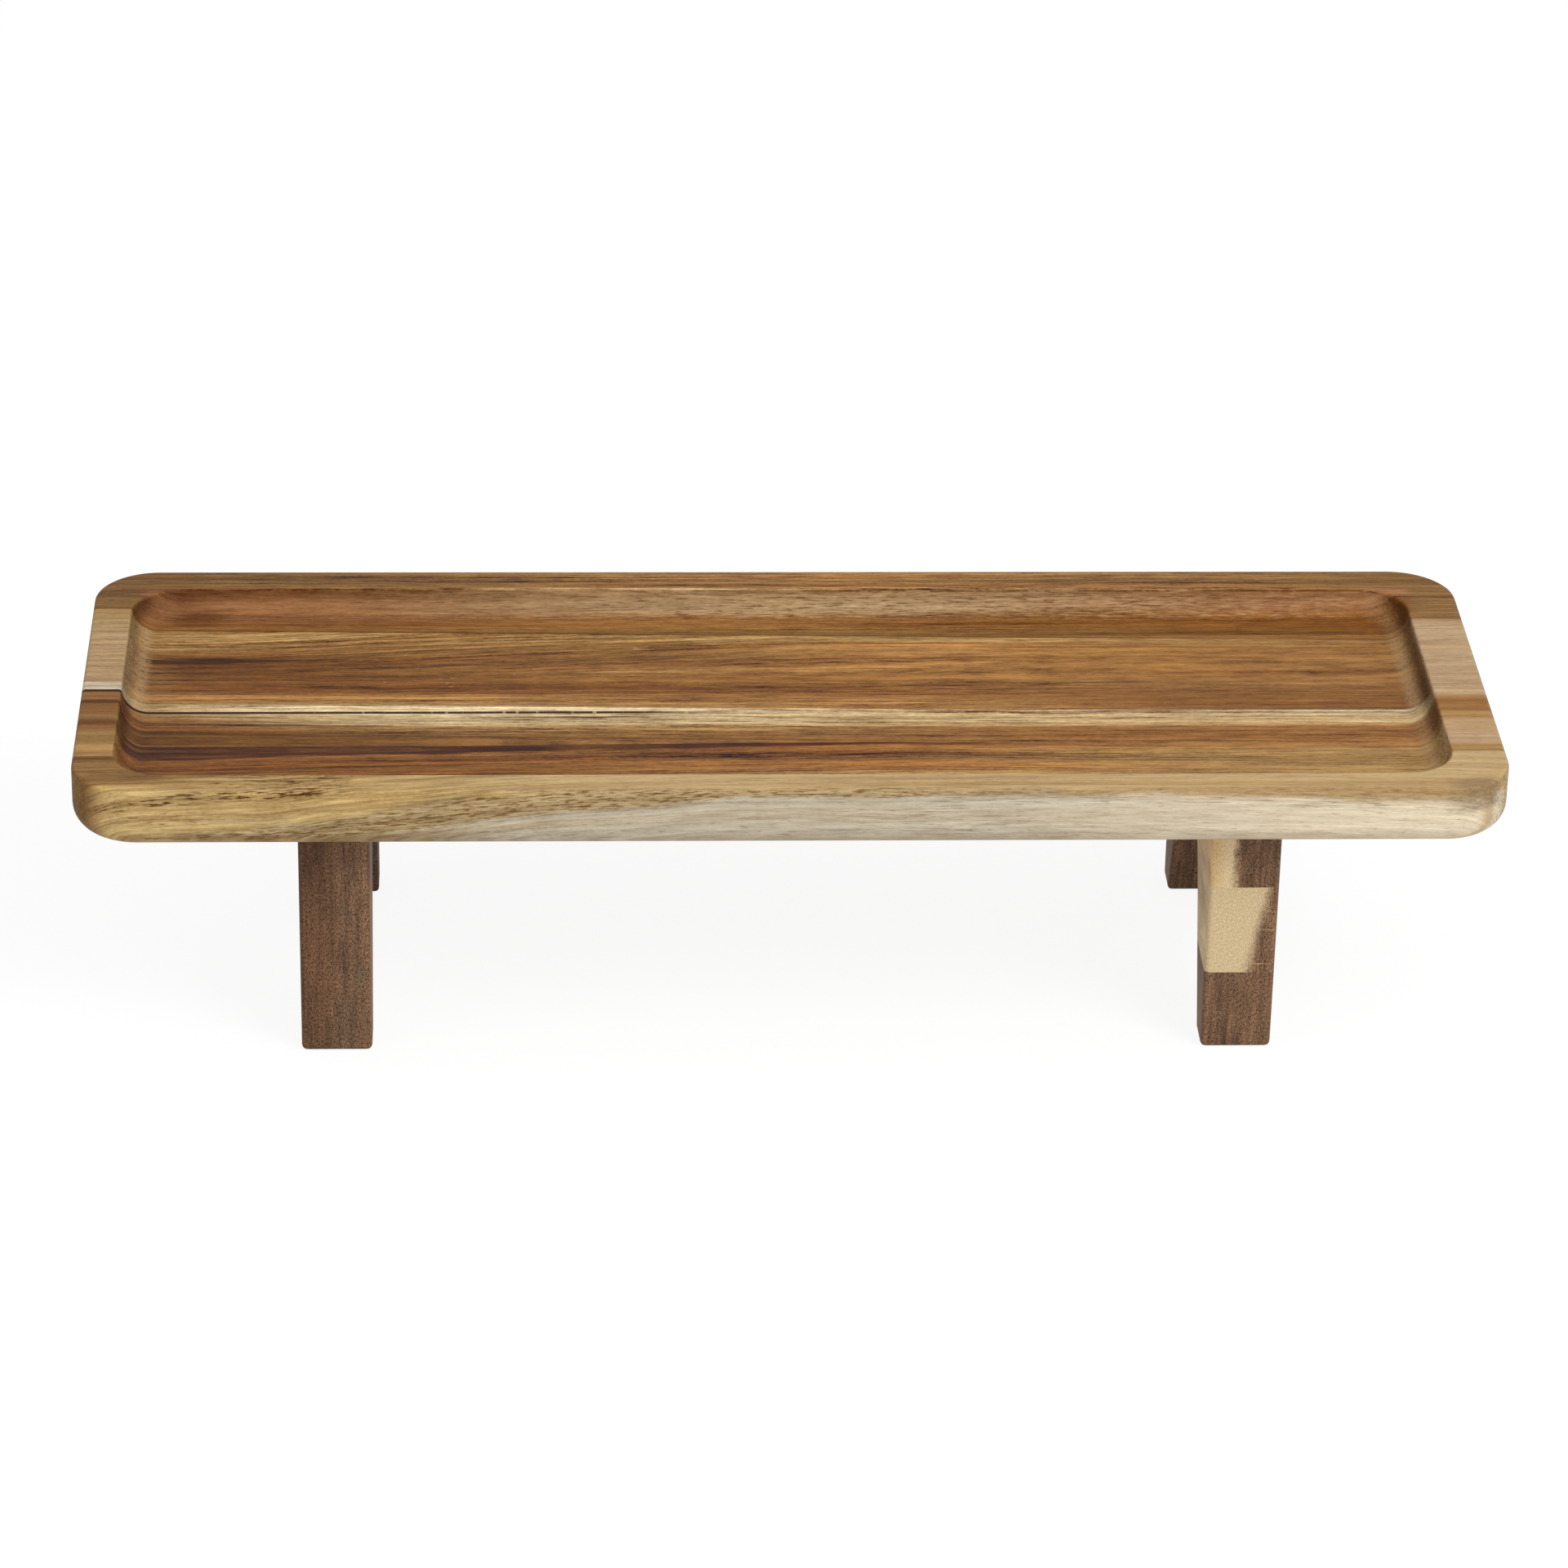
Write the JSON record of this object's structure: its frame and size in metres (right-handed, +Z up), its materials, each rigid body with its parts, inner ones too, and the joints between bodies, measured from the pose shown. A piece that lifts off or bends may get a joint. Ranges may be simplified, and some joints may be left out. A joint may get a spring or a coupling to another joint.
{
  "type": "serving board",
  "caption": "Rectangular glued-wood serving board with rounded corners and a shallow coved well, raised on arched trestle legs.",
  "frame": {"origin": "on the table, under the middle of the board", "axes": "+X along the board to the right, +Y from the front edge to the rear edge, +Z up"},
  "size_m": [0.5, 0.18, 0.115],
  "materials": {
    "rear_stave_wood": "oiled, satin",
    "rear_middle_stave_wood": "oiled, satin",
    "front_middle_stave_wood": "oiled, satin",
    "front_stave_wood": "oiled, satin",
    "dark_leg_wood": "oiled, satin",
    "right_rail_wood": "oiled, satin",
    "cream_leg_wood": "oiled, satin",
    "dowel_wood": "plain"
  },
  "bodies": {
    "root": {"rear_stave": "rear_stave_wood", "rear_middle_stave": "rear_middle_stave_wood", "front_middle_stave": "front_middle_stave_wood", "front_stave": "front_stave_wood", "left_leg_rail": "dark_leg_wood", "left_front_foot": "dark_leg_wood", "left_rear_foot": "dark_leg_wood", "right_leg_rail": "right_rail_wood", "right_front_upright": "cream_leg_wood", "right_rear_upright": "cream_leg_wood", "right_front_foot": "dark_leg_wood", "right_rear_foot": "dark_leg_wood", "left_leg_dowels": "dowel_wood", "right_leg_dowels": "dowel_wood"}
  },
  "joints": []
}
